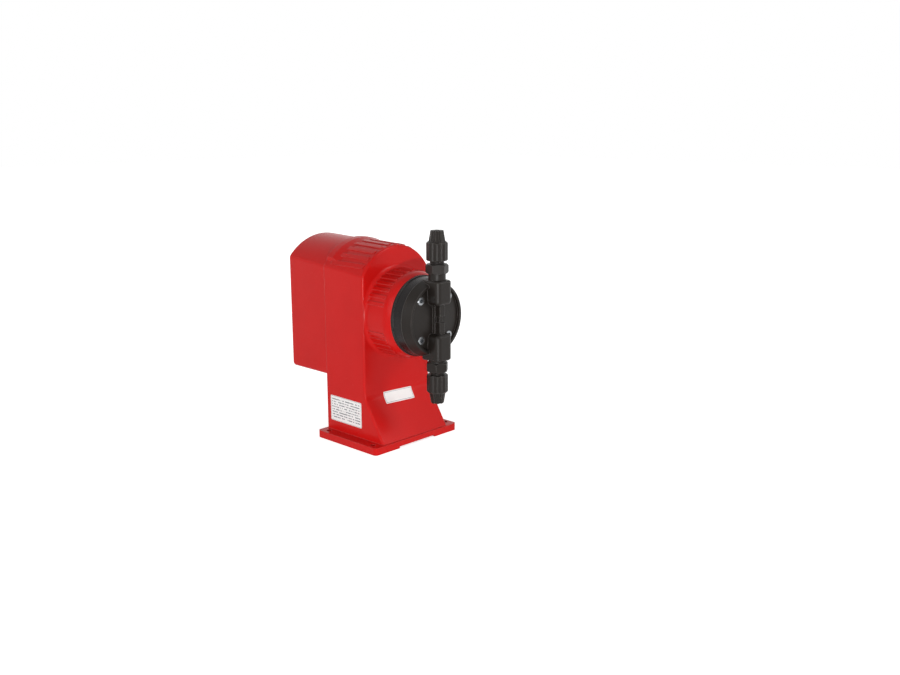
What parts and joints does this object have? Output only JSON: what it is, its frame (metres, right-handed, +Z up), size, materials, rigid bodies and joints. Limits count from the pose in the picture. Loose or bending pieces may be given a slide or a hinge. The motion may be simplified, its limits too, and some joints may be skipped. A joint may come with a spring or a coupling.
{
  "type": "diaphragm metering pump",
  "caption": "Solenoid diaphragm metering pump: red pedestal housing with ribbed vault, black pump head with ball-valve unions and hose nuts, rear control panel.",
  "frame": {"origin": "centre of the foot's bolt pattern, on the plane the foot stands on", "axes": "+Z up, -Y towards the pump head, +X to the left of someone facing the pump head"},
  "size_m": [0.124, 0.2112, 0.2344],
  "materials": {
    "red_housing": "gloss moulded plastic",
    "black_plastic": "semi-gloss moulded plastic",
    "panel_plastic": "fine-textured moulded plastic",
    "knob_plastic": "satin moulded plastic",
    "rocker_plastic": "gloss moulded plastic",
    "red_lens": "clear-coated red plastic",
    "stainless": "bright turned stainless steel",
    "yoke_steel": "zinc-plated mild steel",
    "copper_winding": "enamelled copper wire",
    "bobbin_nylon": "natural nylon",
    "bronze": "sintered bronze",
    "ptfe": "white PTFE",
    "seal_rubber": "black elastomer",
    "ceramic": "polished ceramic",
    "pvdf": "natural PVDF",
    "board_laminate": "green board laminate",
    "core_laminate": "laminated core with tape",
    "capacitor_can": "sleeved aluminium can",
    "terminal_plastic": "green moulded plastic",
    "gland_nylon": "black nylon"
  },
  "bodies": {
    "housing": {"front_housing": "red_housing", "rear_cover": "red_housing", "cover_gasket": "seal_rubber", "cover_screws": "stainless", "control_panel": "panel_plastic", "panel_screws": "stainless", "potentiometer": "yoke_steel", "switch_body": "black_plastic", "status_led": "red_lens", "gland_body": "gland_nylon", "gland_locknut": "gland_nylon", "gland_seal": "seal_rubber", "gland_nut": "gland_nylon", "circuit_board": "board_laminate", "board_screws": "stainless", "transformer": "core_laminate", "capacitors": "capacitor_can", "terminal_block": "terminal_plastic", "solenoid_yoke": "yoke_steel", "pole_core": "yoke_steel", "coil_bobbin": "bobbin_nylon", "coil_winding": "copper_winding", "yoke_screws": "stainless", "guide_bush": "bronze", "return_spring": "stainless", "diaphragm": "ptfe", "back_flange": "black_plastic", "pump_head": "black_plastic", "head_screws": "stainless", "discharge_seal": "seal_rubber", "discharge_union": "black_plastic", "discharge_seat": "ptfe", "discharge_cage": "pvdf", "discharge_ferrule": "pvdf", "discharge_nut": "black_plastic", "suction_seal": "seal_rubber", "suction_union": "black_plastic", "suction_seat": "ptfe", "suction_cage": "pvdf", "suction_ferrule": "pvdf", "suction_nut": "black_plastic"},
    "plunger": {"armature": "yoke_steel", "push_rod": "stainless", "diaphragm_plate": "stainless"},
    "discharge_valve": {"discharge_ball": "ceramic"},
    "suction_valve": {"suction_ball": "ceramic"},
    "stroke_control": {"stroke_knob": "knob_plastic", "knob_spindle": "stainless"},
    "power_switch": {"power_rocker": "rocker_plastic"}
  },
  "joints": [
    {"name": "plunger_stroke", "type": "slide", "parent": "housing", "child": "plunger", "axis": [0, -1, 0], "range_m": [0, 0.0015], "stiffness_N_per_m": 2000, "deforming": ["return_spring", "diaphragm"]},
    {"name": "discharge_ball_lift", "type": "slide", "parent": "housing", "child": "discharge_valve", "axis": [0, 0, 1], "range_m": [0, 0.0016]},
    {"name": "suction_ball_lift", "type": "slide", "parent": "housing", "child": "suction_valve", "axis": [0, 0, 1], "range_m": [0, 0.0016]},
    {"name": "stroke_knob_turn", "type": "hinge", "parent": "housing", "child": "stroke_control", "pos_m": [0, 0.1066, 0.162], "axis": [0, -1, 0], "range_deg": [0, 270]},
    {"name": "power_rocker_tilt", "type": "hinge", "parent": "housing", "child": "power_switch", "pos_m": [0.017, 0.1044, 0.122], "axis": [1, 0, 0], "range_deg": [0, 16]}
  ]
}
